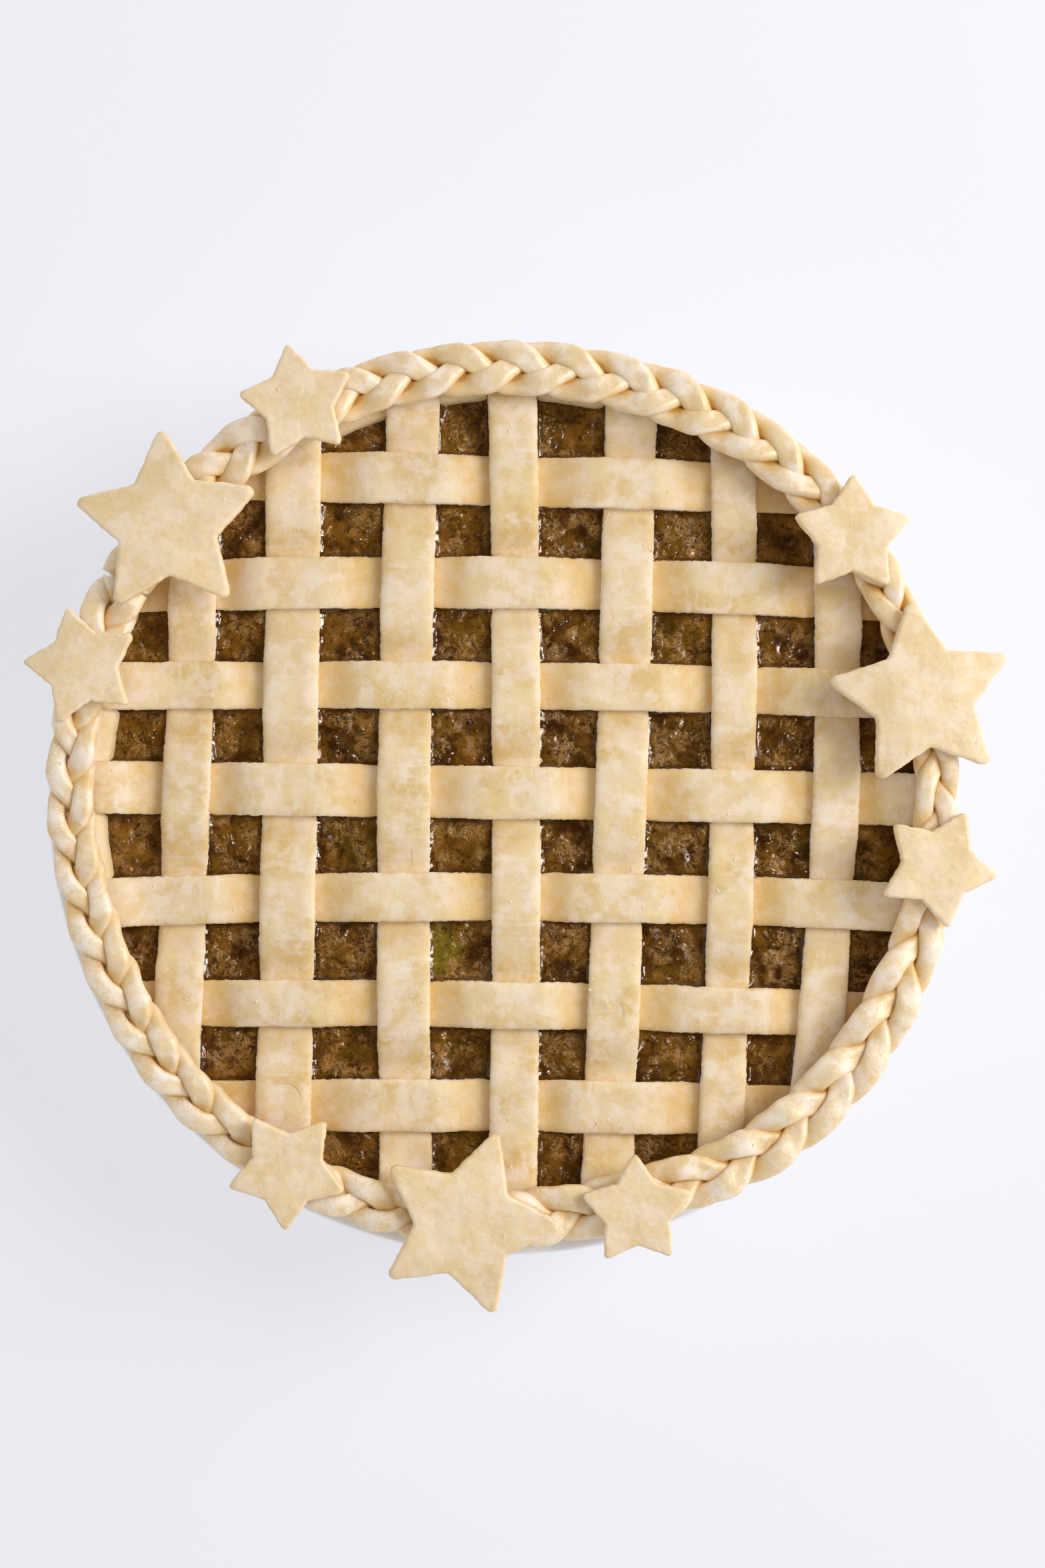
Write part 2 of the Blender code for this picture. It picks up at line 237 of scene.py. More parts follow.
class Tree:
    """A node tree that is written as expressions."""

    def __init__(self, nodes):
        self.nodes = nodes

    def add(self, kind, settings=None, inputs=(), output=0):
        """Adds a node with its settings, feeds its sockets by name or in order, and gives one output."""
        node = self.nodes.nodes.new(kind)
        for name, value in (settings or {}).items():
            if name == "curve":
                self.set_curve(node.mapping, value)
            else:
                setattr(node, name, value)
        usable = [socket for socket in node.inputs if socket.enabled]
        if isinstance(inputs, dict):
            places = {socket.name: socket for socket in reversed(usable)}
            pairs = [(places[name], value) for name, value in inputs.items()]
        else:
            pairs = zip(usable, inputs)
        for socket, value in pairs:
            self.give(socket, value)
        shown = [socket for socket in node.outputs if socket.enabled]
        if isinstance(output, str):
            return Value(self, next(socket for socket in shown if socket.name == output))
        return Value(self, shown[output])

    def give(self, socket, value):
        if isinstance(value, Value):
            self.nodes.links.new(value.socket, socket)
        elif value is not None:
            socket.default_value = value

    def set_curve(self, mapping, points):
        curve = mapping.curves[0]
        while len(curve.points) < len(points):
            curve.points.new(0.5, 0.5)
        for point, place in zip(curve.points, points):
            point.location = place
            point.handle_type = "AUTO"
        mapping.update()

    def math(self, operation, *values):
        return self.add("ShaderNodeMath", {"operation": operation}, values)

    def vector(self, operation, *values):
        return self.add("ShaderNodeVectorMath", {"operation": operation}, values)

    def parts(self, vector):
        """Its x, y and z."""
        return [self.add("ShaderNodeSeparateXYZ", {}, (vector,), axis) for axis in range(3)]

    def xyz(self, x, y, z):
        return self.add("ShaderNodeCombineXYZ", {}, (x, y, z))

    def step(self, value, low, high):
        """0 below low and 1 above high, with a smooth rise between them."""
        settings = {"interpolation_type": "SMOOTHSTEP"}
        return self.add("ShaderNodeMapRange", settings, (value, low, high, 0.0, 1.0))

    def noise(self, place, size, detail, seed=0.0, roughness=0.5):
        """Soft noise around 0.5. Each seed gives another pattern."""
        shift = self.xyz(0.0, 0.0, seed * 0.37)
        inputs = {
            "Vector": self.vector("ADD", place, shift),
            "Scale": 1.0 / size,
            "Detail": detail,
            "Roughness": roughness,
        }
        return self.add("ShaderNodeTexNoise", {}, inputs)

    def colored_noise(self, place, size, **more):
        """Three noises in one vector, each around 0."""
        inputs = {"Vector": place, "Scale": 1 / size, **more}
        return self.vector("SUBTRACT", self.add("ShaderNodeTexNoise", {}, inputs, "Color"), HALF)

    def scaled(self, vector, factor):
        return self.add("ShaderNodeVectorMath", {"operation": "SCALE"}, {"Vector": vector, "Scale": factor})

    def length(self, vector):
        return self.add("ShaderNodeVectorMath", {"operation": "LENGTH"}, (vector,), "Value")

    def mix(self, share, first, second, kind="RGBA"):
        if kind == "RGBA":
            first, second = self.opaque(first), self.opaque(second)
        return self.add("ShaderNodeMix", {"data_type": kind}, (share, first, second))

    def opaque(self, color):
        return color if isinstance(color, Value) else (*color, 1.0)


class Growth(Tree):
    """A Geometry Nodes tree with named inputs, which ends in one plain mesh with one material.

    Its inputs are floats unless a keyword gives another kind. Each tree has a guide and a material.
    """

    def __init__(self, name, floats, **others):
        super().__init__(bpy.data.node_groups.new(name, "GeometryNodeTree"))
        interface = self.nodes.interface
        interface.new_socket("Mesh", in_out="OUTPUT", socket_type="NodeSocketGeometry")
        interface.new_socket("Guide", in_out="INPUT", socket_type="NodeSocketGeometry")
        kinds = {**dict.fromkeys(floats, "Float"), **others, "Material": "Material"}
        for label, kind in kinds.items():
            interface.new_socket(label, in_out="INPUT", socket_type="NodeSocket" + kind)
        self.start = self.nodes.nodes.new("NodeGroupInput")

    def __getitem__(self, label):
        return Value(self, self.start.outputs[label])

    def position(self):
        return self.add("GeometryNodeInputPosition")

    def store(self, geometry, name, value, kind="FLOAT"):
        settings = {"data_type": kind, "domain": "POINT"}
        inputs = {"Geometry": geometry, "Name": name, "Value": value}
        return self.add("GeometryNodeStoreNamedAttribute", settings, inputs)

    def read(self, name, kind="FLOAT"):
        settings = {"data_type": kind}
        return self.add("GeometryNodeInputNamedAttribute", settings, {"Name": name})

    def sweep(self, rows, section):
        """Carries a closed section along rows. Each point keeps its row and its place in the section."""
        line = self.add("GeometryNodeCurvePrimitiveLine")
        line = self.add("GeometryNodeResampleCurve", {}, {"Curve": line, "Count": rows})
        line = self.store(line, "row", self.add("GeometryNodeInputIndex"))
        section = self.store(section, "section", self.position(), "FLOAT_VECTOR")
        inputs = {"Curve": line, "Profile Curve": section, "Fill Caps": True}
        return self.add("GeometryNodeCurveToMesh", {}, inputs)

    def sample(self, geometry, index):
        """The place of one point of a geometry."""
        settings = {"data_type": "FLOAT_VECTOR", "domain": "POINT"}
        inputs = {"Geometry": geometry, "Value": self.position(), "Index": index}
        return self.add("GeometryNodeSampleIndex", settings, inputs)

    def move(self, geometry, place=None, offset=None):
        inputs = {"Geometry": geometry, "Position": place, "Offset": offset}
        return self.add("GeometryNodeSetPosition", {}, inputs)

    def random(self, low, high, seed):
        settings = {"data_type": "FLOAT_VECTOR" if isinstance(low, tuple) else "FLOAT"}
        return self.add("FunctionNodeRandomValue", settings, {"Min": low, "Max": high, "Seed": seed})

    def smooth(self, geometry):
        return self.add("GeometryNodeSetShadeSmooth", {}, (geometry,))

    def end(self, geometry):
        geometry = self.add("GeometryNodeRealizeInstances", {}, (self.smooth(geometry),))
        inputs = {"Geometry": geometry, "Material": self["Material"]}
        geometry = self.add("GeometryNodeSetMaterial", {}, inputs)
        out = self.nodes.nodes.new("NodeGroupOutput")
        self.nodes.links.new(geometry.socket, out.inputs[0])
        return self


def grow(name, tree, sizes, guide=None):
    """Runs a tree over a guide mesh, and returns what it makes as a plain mesh object."""
    carrier = bpy.data.objects.new(name + "_guide", guide or bpy.data.meshes.new(name))
    bpy.context.scene.collection.objects.link(carrier)
    modifier = carrier.modifiers.new(name, "NODES")
    modifier.node_group = tree.nodes
    for item in tree.nodes.interface.items_tree:
        if item.name in sizes:
            modifier[item.identifier] = sizes[item.name]
    graph = bpy.context.evaluated_depsgraph_get()
    mesh = bpy.data.meshes.new_from_object(
        carrier.evaluated_get(graph), preserve_all_data_layers=True, depsgraph=graph
    )
    bpy.data.objects.remove(carrier)
    mesh.name = name
    face_outwards(mesh)
    made = bpy.data.objects.new(name, mesh)
    bpy.context.scene.collection.objects.link(made)
    return made


def face_outwards(mesh):
    shape = bmesh.new()
    shape.from_mesh(mesh)
    bmesh.ops.recalc_face_normals(shape, faces=shape.faces)
    shape.to_mesh(mesh)
    shape.free()


def hand_in(piece, slot, *nodes):
    """The piece rides on the pie's one body and stands for these solids."""
    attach(piece, "root")
    if nodes:
        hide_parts(*nodes)


# Finishes


class Finish(Tree):
    """A material whose pattern feeds one Principled shader.

    Keywords set the shader's sockets everywhere, with _ for each space in a socket's name.
    """

    def __init__(self, name, **everywhere):
        self.material = bpy.data.materials.new(name)
        self.material.use_nodes = True
        super().__init__(self.material.node_tree)
        self.shader = self.nodes.nodes["Principled BSDF"]
        for label, value in everywhere.items():
            self.shader.inputs[label.replace("_", " ")].default_value = value
        self.place = self.add("ShaderNodeTexCoord", output="Object")

    def feed(self, label, value):
        self.give(self.shader.inputs[label], value)

    def relief(self, height, depth):
        """Small relief: height from 0 to 1, and how deep it is."""
        bump = self.add("ShaderNodeBump", {}, {"Strength": 1.0, "Distance": depth, "Height": height})
        self.feed("Normal", bump)


def dough_finish(name, pale_share, mottling, gloss=0.0, rolled=False):
    """Raw pastry: mottled in butter, tan, cream and straw, with specks, and flour where it clings."""
    dough = Finish(name, Specular_IOR_Level=0.2 + gloss)
    place = dough.place
    if rolled:
        lay = dough.add("ShaderNodeAttribute", {"attribute_name": "lay"}, output="Vector")
        place = dough.vector("ADD", place, dough.xyz(0.0, 0.0, dough.parts(lay)[2] * 0.37))
    clouds = dough.step(dough.noise(place, 15 * MM, 2.0, roughness=0.6), 0.36, 0.66)
    color = dough.mix(clouds * mottling, BUTTER, TAN)
    patches = dough.step(dough.noise(place, 5 * MM, 3.0, 3.0, 0.6), 0.40, 0.64)
    color = dough.mix(patches * pale_share, color, CREAM)
    straw = dough.step(dough.noise(place, 8 * MM, 2.0, 9.0), 0.50, 0.64)
    color = dough.mix(straw * mottling * 0.5, color, STRAW)
    vein = dough.math("ABSOLUTE", dough.noise(place, 2.6 * MM, 3.0, 5.0, 0.6) - 0.5)
    color = dough.mix((1 - dough.step(vein, 0.0, 0.09)) * 0.12, color, CREAM)
    if rolled:
        across = dough.vector("MULTIPLY", lay, (1.0, 0.14, 1.0))
        stretched = dough.step(dough.noise(across, 1.7 * MM, 3.0, 5.0), 0.52, 0.70)
        where = dough.step(dough.noise(place, 12 * MM, 2.0, 7.0), 0.46, 0.60)
        color = dough.mix(stretched * where * 0.4, color, CREAM)
    # Painted shade and soaking: low strips are tinted as soaked and shaded, and the braid's creases as
    # shaded; the deepest creases get a darker painted shade
    soaked = dough.add("ShaderNodeAttribute", {"attribute_name": "soaked"}, output="Fac")
    color = dough.mix(soaked * (0.2 + dough.noise(place, 5 * MM, 3.0, 8.0) * 1.2), color, SOAK_AND_SHADE_TAN)
    color = dough.mix(dough.step(soaked, 0.75, 1.3) * 0.75, color, DEEP_CREASE_SHADE)
    spots = dough.add("ShaderNodeTexVoronoi", {}, {"Vector": place, "Scale": 1 / (2.4 * MM)})
    some = dough.step(dough.noise(place, 5 * MM, 2.0, 2.0), 0.5, 0.56)
    color = dough.mix((1 - dough.step(spots, 0.04, 0.075)) * some * 0.5, color, SPECK)
    clinging = dough.add("ShaderNodeAttribute", {"attribute_name": "dusty"}, output="Fac")
    drift = dough.noise(place, 7 * MM, 2.0, 12.0)
    grain = dough.noise(place, 0.55 * MM, 2.0, 13.0)
    dust = dough.step(clinging * 0.5 + drift * 0.35 + grain * 0.35, 0.60, 0.80)
    color = dough.mix(dust * 0.75, color, FLOUR)
    height = dough.noise(place, 0.9 * MM, 2.0, 4.0) * 0.18 + dough.noise(place, 4 * MM, 2.0, 6.0) * 0.7
    if rolled:
        height = height + arc_folds(dough, DOUGH_MARKS) * 0.4
    dough.feed("Base Color", color)
    dough.feed("Roughness", 0.56 - gloss + patches * 0.1 + dust * 0.25)
    dough.relief(height + clinging * grain * 0.6, 0.4 * MM)
    return dough.material


def arc_folds(finish, marks):
    """Shallow folds, each an arc seen from above: 1 at its crest, and fading away on its outer side."""
    x, y, _ = finish.parts(finish.place)
    found = 0.0
    for middle_x, middle_y, radius, heading, half_sweep in marks:
        aside = x - middle_x * MM
        along = y - middle_y * MM
        distance = finish.math("SQRT", aside * aside + along * along)
        past = distance - radius * MM
        turn = math.radians(heading)
        facing = (aside * math.cos(turn) + along * math.sin(turn)) / distance
        least = math.cos(math.radians(half_sweep))
        fold = finish.step(past, 0.0, 0.7 * MM) * (1 - finish.step(past, 0.7 * MM, 3.5 * MM))
        found = found + fold * finish.step(facing, least, 1.0)
    return found


def apple_finish():
    """Apple cooked in spiced syrup: umber, cinnamon and olive, wet, with curled paler threads."""
    apple = Finish("spiced_apple", Specular_IOR_Level=0.25)
    place = apple.place
    bend = apple.colored_noise(place, 4 * MM, Detail=2.0)
    curled = apple.vector("ADD", place, apple.scaled(bend, 7 * MM))
    mottle = apple.step(apple.noise(place, 9 * MM, 6.0, 1.0, 0.68), 0.36, 0.64)
    color = apple.mix(mottle, UMBER, CINNAMON)
    olive = apple.step(apple.noise(place, 17 * MM, 3.0, 5.0), 0.50, 0.66)
    color = apple.mix(olive * 0.35, color, OLIVE)
    to_peel = apple.add("ShaderNodeVectorMath", {"operation": "DISTANCE"}, (place, PEEL_PLACE))
    color = apple.mix((1 - apple.step(to_peel, 3 * MM, 10 * MM)) * 0.8, color, PEEL)
    middle = apple.math("ABSOLUTE", apple.noise(curled, 2.6 * MM, 4.0, 8.0, 0.65) - 0.5)
    thread = 1 - apple.step(middle, 0.0, 0.11)
    flesh = apple.step(apple.noise(place, 5 * MM, 3.0, 6.0), 0.42, 0.62)
    grain = apple.noise(place, 0.6 * MM, 3.0, 15.0, 0.7)
    color = apple.mix(thread * flesh * 0.5, color, APPLE_FLESH)
    color = apple.mix(apple.step(grain, 0.46, 0.75) * (0.08 + flesh * 0.22), color, APPLE_FLESH)
    shore = apple.add("ShaderNodeAttribute", {"attribute_name": "shore"}, output="Fac")
    pits = apple.step(apple.noise(curled, 1.5 * MM, 2.0, 19.0), 0.56, 0.68)
    color = apple.mix(pits * 0.75, color, UMBER)
    # Next to the strips the syrup is darker: partly dark syrup, partly painted contact shade
    color = apple.mix(shore * 0.65, color, UMBER)
    apple.feed("Base Color", color)
    rugged = apple.step(apple.noise(place, 10 * MM, 2.0, 11.0), 0.52, 0.62)
    apple.feed("Roughness", 0.17 - rugged * 0.08 - shore * 0.08)
    folds = apple.noise(curled, 2.2 * MM, 1.5, 7.0)
    relief = folds * (0.15 + rugged * 0.7) + thread * flesh * 0.05 + grain * 0.02
    apple.relief(relief * (1 - shore * 0.9), 2.0 * MM)
    return apple.material


def glaze_finish():
    shine = {"Specular_IOR_Level": 0.5, "Coat_Weight": 0.5, "Coat_Roughness": 0.05}
    glaze = Finish("white_glaze", Roughness=0.10, **shine)
    cloud = glaze.noise(glaze.place, 40 * MM, 2.0)
    glaze.feed("Base Color", glaze.mix(cloud, (0.89, 0.895, 0.92), (0.87, 0.875, 0.90)))
    glaze.relief(glaze.noise(glaze.place, 14 * MM, 2.0, seed=3.0), 0.12 * MM)
    return glaze.material


def table_finish():
    """A pale sweep, lit a little from behind as a light table is, so that shadows stay soft."""
    table = Finish("pale_table", Roughness=0.8, Specular_IOR_Level=0.1, Emission_Strength=0.54)
    table.shader.inputs["Emission Color"].default_value = (0.955, 0.965, 1.0, 1.0)
    cloud = table.noise(table.place, 90 * MM, 3.0)
    table.feed("Base Color", table.mix(cloud, (0.37, 0.365, 0.40), (0.35, 0.345, 0.38)))
    return table.material


# Dish and case


def rounded(profile, radius):
    """The profile with an arc-like bend of about this radius at each inner corner."""
    points = [np.array(point) for point in profile]
    result = [points[0]]
    for before, corner, after in zip(points, points[1:], points[2:]):
        reach_in = min(radius, 0.45 * np.linalg.norm(before - corner))
        reach_out = min(radius, 0.45 * np.linalg.norm(after - corner))
        start = corner + (before - corner) / np.linalg.norm(before - corner) * reach_in
        stop = corner + (after - corner) / np.linalg.norm(after - corner) * reach_out
        for k in range(BEND_STEPS + 1):
            share = k / BEND_STEPS
            result.append((1 - share) ** 2 * start + 2 * share * (1 - share) * corner + share**2 * stop)
    result.append(points[-1])
    return result


def turned_mesh(name, profile):
    """A closed solid of revolution through (radius, height) pairs from the axis out and back."""
    shape = bmesh.new()
    corners = [shape.verts.new((radius, 0.0, height)) for radius, height in profile]
    edges = [shape.edges.new(pair) for pair in zip(corners, corners[1:])]
    bmesh.ops.spin(
        shape,
        geom=corners + edges,
        cent=(0.0, 0.0, 0.0),
        axis=(0.0, 0.0, 1.0),
        angle=math.tau,
        steps=TURNED_STEPS,
    )
    bmesh.ops.remove_doubles(shape, verts=shape.verts, dist=1e-6)
    bmesh.ops.recalc_face_normals(shape, faces=shape.faces)
    mesh = bpy.data.meshes.new(name)
    shape.to_mesh(mesh)
    shape.free()
    mesh.shade_smooth()
    return mesh


def make_dish(glaze):
    low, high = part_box("dish")
    rim, top = high.x - DISH_EASE, high.z
    foot = rim * DISH_WALL_SHARE
    wall = 6.0 * MM
    profile = rounded(
        (
            (0.0, low.z + 1.6 * MM),
            (foot - 7.5 * MM, low.z + 1.6 * MM),
            (foot - 6.0 * MM, low.z),
            (foot, low.z),
            (foot + 2.5 * MM, low.z + 3.0 * MM),
            (rim - 3.6 * MM, top - 5.4 * MM),
            (rim, top - 2.6 * MM),
            (rim - 0.4 * MM, top),
            (rim - DISH_RIM_WIDTH, top - 0.2 * MM),
            (foot - 2.0 * MM, wall),
            (0.0, wall),
        ),
        2.0 * MM,
    )
    mesh = turned_mesh("dish_glazed", profile)
    mesh.transform(mathutils.Matrix.Translation(DISH_SHIFT))
    mesh.materials.append(glaze)
    piece = bpy.data.objects.new("dish_glazed", mesh)
    bpy.context.scene.collection.objects.link(piece)
    hand_in(piece, "white_glaze", "dish")


def case_tree():
    """Dough pressed into a dish by hand. Here and there it stands further in, as a ledge."""
    tree = Growth("pressed_case", ("Size", "Depth", "Mouth", "Ledge"))
    place = tree.position()
    x, y, z = tree.parts(place)
    radius = tree.math("SQRT", x * x + y * y)
    clock = tree.math("FLOORED_MODULO", tree.math("ARCTAN2", x, y) / math.tau, 1.0)
    places = [(angle / 360.0, width) for angle, width in LEDGES]
    ledge = tree.add("ShaderNodeFloatCurve", {"curve": places}, {"Value": clock})
    ledge = tree.math("MAXIMUM", ledge, 0.0)
    inner = tree.step(tree["Mouth"] + 2.5 * MM - radius, 0.0, 1.5 * MM)
    pressed = ledge * inner * tree.step(z, 36.5 * MM, 38.5 * MM)
    inwards = pressed * tree["Ledge"] / radius * -1.0
    sink = pressed * -3.2 * MM
    uneven = tree.scaled(tree.colored_noise(place, tree["Size"], Detail=3.0), tree["Depth"] * 2)
    offset = tree.vector("ADD", uneven, tree.xyz(x * inwards, y * inwards, sink))
    return tree.end(tree.move(tree["Guide"], offset=offset))


def make_case(dough):
    low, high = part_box("pastry_case")
    rim, top = high.x, high.z
    mouth = rim - CASE_WALL
    profile = rounded(
        (
            (0.0, low.z),
            (0.74 * rim, low.z),
            (0.925 * rim, 41.0 * MM),
            (rim - CASE_TUCK - 0.7 * MM, 42.3 * MM),
            (rim - CASE_TUCK, 43.2 * MM),
            (rim - CASE_TUCK - 1.2 * MM, top),
            (mouth + 2.0 * MM, top),
            (mouth, top - 2.0 * MM),
            (mouth - 0.6 * MM, SYRUP_LEVEL),
            (mouth - 3.0 * MM, SYRUP_LEVEL - 4.0 * MM),
            (0.70 * rim, low.z + 4.0 * MM),
            (0.0, low.z + 4.0 * MM),
        ),
        1.6 * MM,
    )
    guide = turned_mesh("case_pressed", profile)
    sizes = {
        "Size": 14.0 * MM,
        "Depth": 0.4 * MM,
        "Mouth": mouth,
        "Ledge": 5.6 * MM,
        "Material": dough,
    }
    piece = grow("case_pressed", case_tree(), sizes, guide)
    hand_in(piece, "case_dough", "pastry_case")


# Filling


def filling_guide():
    """A round slab whose top is a fine grid. Its edge lies just inside the dough of the case."""
    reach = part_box("pastry_case")[1].x - CASE_WALL + 0.6 * MM
    cells = round(2 * reach / FILLING_CELL)
    shape = bmesh.new()
    bmesh.ops.create_grid(shape, x_segments=cells, y_segments=cells, size=reach)
    outside = [vert for vert in shape.verts if vert.co.xy.length > reach]
    bmesh.ops.delete(shape, geom=outside, context="VERTS")
    for vert in shape.verts:
        vert.co.z = SYRUP_LEVEL
    rim = [edge for edge in shape.edges if edge.is_boundary]
    made = bmesh.ops.extrude_edge_only(shape, edges=rim)["geom"]
    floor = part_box("apple_filling")[0].z
    for vert in (item for item in made if isinstance(item, bmesh.types.BMVert)):
        vert.co.z = floor
        vert.co.xy *= FILLING_FLOOR_SHARE
    bmesh.ops.holes_fill(shape, edges=[edge for edge in shape.edges if edge.is_boundary], sides=0)
    mesh = bpy.data.meshes.new("filling")
    shape.to_mesh(mesh)
    shape.free()
    return mesh


def filling_tree():
    """Lumpy apple in syrup, which climbs a little against the strips that lie in it."""
    tree = Growth("apple_in_syrup", ("Level", "Lump", "Height", "Climb"), Strips="Collection")
    place = tree.position()
    x, y, z = tree.parts(place)
    on_top = tree.math("GREATER_THAN", z, tree["Level"] - 0.1 * MM)
    bend = tree.vector("MULTIPLY", tree.colored_noise(place, 7 * MM), (7 * MM, 7 * MM, 0.0))
    bent = tree.vector("ADD", place, bend)
    inputs = {"Vector": bent, "Scale": 1 / tree["Lump"], "Smoothness": 0.5, "Randomness": 1.0}
    cells = tree.add("ShaderNodeTexVoronoi", {"feature": "SMOOTH_F1"}, inputs)
    rough = tree.noise(bent, 2.6 * MM, 3.0, 1.0, 0.6)
    lumps = ((0.42 - cells) * 2.0 + (rough - 0.5) * 2.6) * tree["Height"]
    # Seen flattened, the nearest point of the strips is the nearest one from above.
    flat = 0.05
    strips = tree.add("GeometryNodeCollectionInfo", {"transform_space": "ORIGINAL"}, (tree["Strips"],))
    strips = tree.add("GeometryNodeRealizeInstances", {}, (strips,))
    strips = tree.move(strips, place=tree.vector("MULTIPLY", place, (1.0, 1.0, flat)))
    below = tree.xyz(x, y, (tree["Level"] - 8 * MM) * flat)
    inputs = {"Geometry": strips, "Sample Position": below}
    near = tree.add("GeometryNodeProximity", {"target_element": "FACES"}, inputs)
    near_x, near_y, near_z = tree.parts(near)
    aside = tree.length(tree.xyz(near_x - x, near_y - y, 0.0))
    climb = tree.math("MAXIMUM", 1 - aside / tree["Climb"], 0.0) ** 3
    edge = tree.math("MAXIMUM", near_z / flat + 0.3 * MM, tree["Level"] + 0.8 * MM)
    rise = lumps + climb * (edge - tree["Level"] - lumps)
    # shore: nearness to the strips, which the finish also uses for a painted contact shade
    filling = tree.store(tree["Guide"], "shore", 1 - tree.step(aside, 0.2 * MM, tree["Climb"]))
    return tree.end(tree.move(filling, offset=tree.xyz(0.0, 0.0, rise * on_top)))


def make_filling(apple, strips):
    sizes = {
        "Strips": strips,
        "Level": SYRUP_LEVEL,
        "Lump": 8.5 * MM,
        "Height": 0.85 * MM,
        "Climb": 1.8 * MM,
        "Material": apple,
    }
    filling = grow("filling_syrupy", filling_tree(), sizes, filling_guide())
    hand_in(filling, "spiced_apple", "apple_filling")


# Lattice


def edges_of(node, along):
    """The two long edges of a strip's solid, as matching rows of points half-way up it."""
    aside = 1 - along
    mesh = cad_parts[node].data
    corners = np.unique([vert.co[:] for vert in mesh.vertices], axis=0)
    places, number = np.unique(corners[:, :2], axis=0, return_inverse=True)
    number = number.reshape(-1)
    level = np.bincount(number, corners[:, 2]) / np.bincount(number)
    bend = np.polyfit(places[:, along], places[:, aside], 2)
    beyond = places[:, aside] > np.polyval(bend, places[:, along])
    sides = []
    for side in (~beyond, beyond):
        edge = np.column_stack([places[side], level[side]])
        sides.append(edge[np.argsort(edge[:, along])])
    return sides


def smooth_rows(edges, along):
    """Evenly spaced rows along both edges, with the sharp bends of the solid eased.

    The strip runs on a little under the braid, so that no end shows.
    """
    reach = (edges[0][:, along] + edges[1][:, along]) / 2
    rows = round((reach[-1] - reach[0] + 2 * STRIP_TUCK) / STRIP_ROW)
    places = np.linspace(reach[0] - STRIP_TUCK, reach[-1] + STRIP_TUCK, rows)
    beyond = places - np.clip(places, reach[0], reach[-1])
    window = np.hanning(EASED_ROWS)
    window /= window.sum()
    eased = []
    for edge in edges:
        dense = np.column_stack([np.interp(places, reach, column) for column in edge.T])
        dense[:, along] += beyond
        padded = np.pad(dense[:, 2], len(window) // 2, mode="edge")
        dense[:, 2] = np.convolve(padded, window, mode="valid")
        eased.append(dense)
    return eased


def strip_guide(name, edges):
    """A ladder of points: each row has a point on either edge."""
    points = np.stack(edges, axis=1).reshape(-1, 3)
    mesh = bpy.data.meshes.new(name)
    mesh.from_pydata(points.tolist(), [], [])
    return mesh


def strip_tree():
    """A strip cut from rolled dough, laid between two edges."""
    floats = ("Width", "Thickness", "Rounding", "Unevenness", "Soaked", "Seed")
    tree = Growth("rolled_strip", floats, Rows="Int", Points="Int")
    inputs = {"Width": tree["Width"], "Height": tree["Thickness"]}
    section = tree.add("GeometryNodeCurvePrimitiveQuadrilateral", {"mode": "RECTANGLE"}, inputs)
    inputs = {"Curve": section, "Count": 6, "Radius": tree["Rounding"]}
    section = tree.add("GeometryNodeFilletCurve", {"mode": "POLY"}, inputs)
    section = tree.add("GeometryNodeResampleCurve", {}, {"Curve": section, "Count": tree["Points"]})
    strip = tree.sweep(tree["Rows"], section)
    row = tree.read("row")
    first = tree.sample(tree["Guide"], row * 2)
    second = tree.sample(tree["Guide"], row * 2 + 1)
    x, height, _ = tree.parts(tree.read("section", "FLOAT_VECTOR"))
    across = x / tree["Width"]
    middle = tree.mix(across + 0.5, first, second, "VECTOR")
    outwards = tree.vector("NORMALIZE", tree.vector("SUBTRACT", second, first))
    edge = tree.math("ABSOLUTE", across * 2)
    wander = (tree.noise(middle, 11 * MM, 2.0, tree["Seed"]) - 0.5) * 2.4 * tree["Unevenness"]
    crumble = (tree.noise(middle, 1.4 * MM, 3.0, tree["Seed"], 0.75) - 0.5) * 3.2 * tree["Unevenness"]
    shift = (wander * edge + crumble * tree.step(edge, 0.85, 1.0)) * tree.math("SIGN", across)
    sag = edge ** 5 * tree["Thickness"] * -0.25
    swell = (tree.noise(middle, 8 * MM, 2.0, tree["Seed"] + 4) - 0.5) * 0.9 * tree["Unevenness"]
    sideways = tree.scaled(outwards, shift)
    place = tree.vector("ADD", middle, tree.xyz(0.0, 0.0, height + sag + swell))
    strip = tree.move(strip, place=tree.vector("ADD", place, sideways))
    lay = tree.xyz(row * STRIP_ROW, x, tree["Seed"])
    strip = tree.store(strip, "lay", lay, "FLOAT_VECTOR")
    # Low parts of a strip are tinted as syrup-soaked, and as painted shade where the strip dives under
    # another
    dry_and_lit = tree.step(tree.parts(middle)[2], SOAK_AND_SHADE_BELOW, DRY_AND_LIT_ABOVE)
    strip = tree.store(strip, "soaked", tree["Soaked"] * (1 - dry_and_lit))
    return tree.end(tree.store(strip, "dusty", tree.step(edge, 0.93, 1.0) * 0.75))


def make_lattice(dough):
    tree = strip_tree()
    strips = []
    # Cross strips lie lower and more in the long strips' shade, so they get a larger share of soaking and
    # painted shade
    for family, along, soaked in (("lattice_long", 1, 0.25), ("lattice_cross", 0, 0.65)):
        for number in range(1, STRIPS_EACH_WAY + 1):
            node = f"{family}_{number}"
            edges = smooth_rows(edges_of(node, along), along)
            middle = len(edges[0]) // 2
            sizes = {
                "Rows": len(edges[0]),
                "Width": float(np.linalg.norm(edges[1][middle] - edges[0][middle])),
                "Thickness": STRIP_THICKNESS,
                "Rounding": STRIP_ROUNDING,
                "Points": STRIP_SECTION_POINTS,
                "Unevenness": 0.32 * MM,
                "Soaked": soaked,
                "Seed": number + 20.0 * along,
                "Material": dough,
            }
            strip = grow(f"{node}_rolled", tree, sizes, strip_guide(node, edges))
            hand_in(strip, "strip_dough", node)
            strips.append(strip)
    return strips


# Braid


